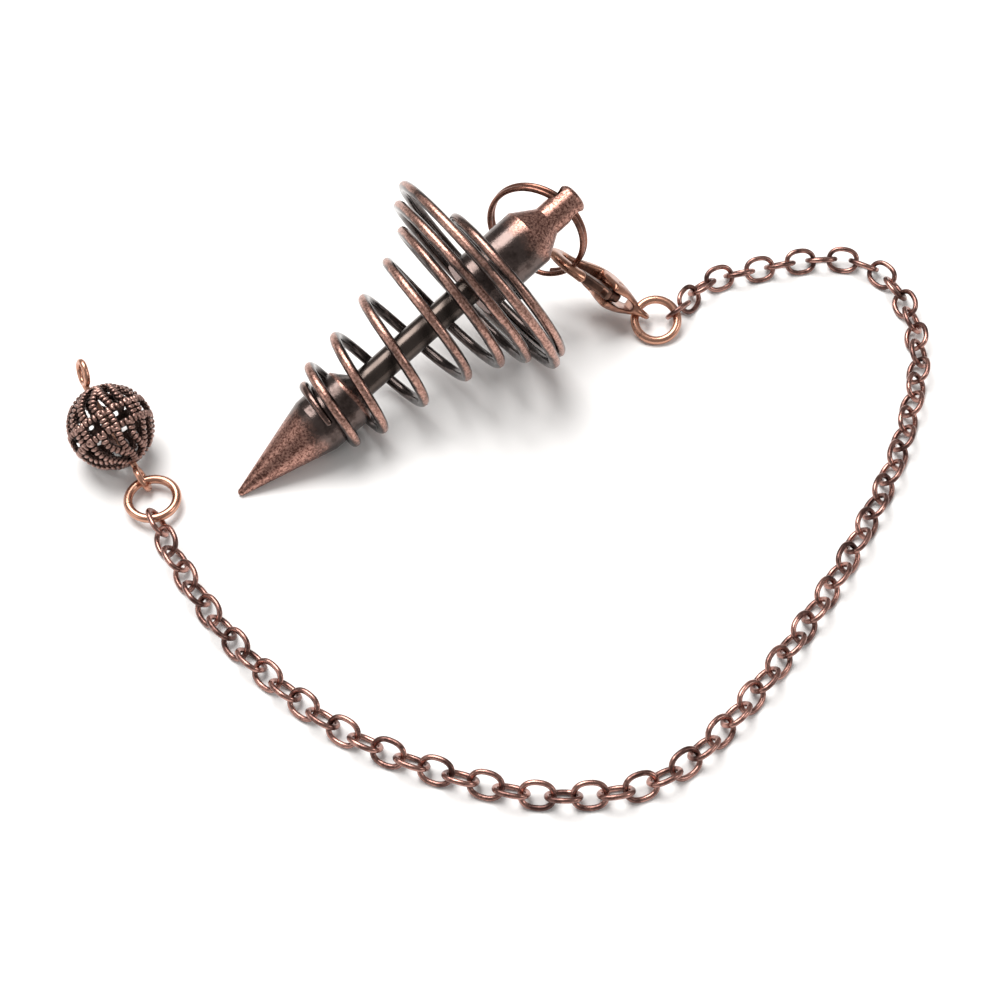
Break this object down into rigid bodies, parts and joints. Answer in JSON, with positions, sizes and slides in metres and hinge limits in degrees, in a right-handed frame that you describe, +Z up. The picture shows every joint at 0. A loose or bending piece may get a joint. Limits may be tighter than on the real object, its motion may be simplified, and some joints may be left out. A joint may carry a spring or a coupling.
{
  "type": "dowsing pendulum",
  "caption": "Copper pendulum of a pointed spindle in a cone of spiral wire, with a split ring, a lobster clasp and a cable chain that ends in a pierced filigree ball.",
  "frame": {"origin": "on the surface that the pendulum lies on, under the middle of its floor space", "axes": "+Z up; +X to the right and +Y away from the picture's viewer, so that the spindle points down and to the left"},
  "size_m": [0.0988, 0.0752, 0.0253],
  "materials": {
    "mottled_copper": "antiqued, mottled",
    "dark_rod": "glossy gunmetal",
    "brushed_copper": "brushed on the outside, dark in the recesses",
    "clasp_copper": "antiqued, satin",
    "dark_copper": "dark, satin",
    "rose_copper": "polished",
    "chain_copper": "antiqued",
    "ball_copper": "antiqued, dark in the recesses"
  },
  "bodies": {
    "pendulum": {"tip": "mottled_copper", "shaft": "dark_rod", "cap": "mottled_copper", "spiral": "brushed_copper", "split_ring": "brushed_copper", "clasp_body": "clasp_copper", "clasp_pin": "clasp_copper", "clasp_ring": "rose_copper", "chain": "chain_copper", "ball_ring": "rose_copper", "eye_pin": "chain_copper", "filigree_ball": "ball_copper"},
    "lever": {"clasp_lever": "dark_copper"}
  },
  "joints": [
    {"name": "lever_pivot", "type": "hinge", "parent": "pendulum", "child": "lever", "pos_m": [0.0122, 0.02723, 0.0049], "axis": [-0.5772, -0.4782, -0.6619], "range_deg": [0, 24], "stiffness_Nm_per_rad": 0.00002, "springref_deg": -20.05}
  ]
}
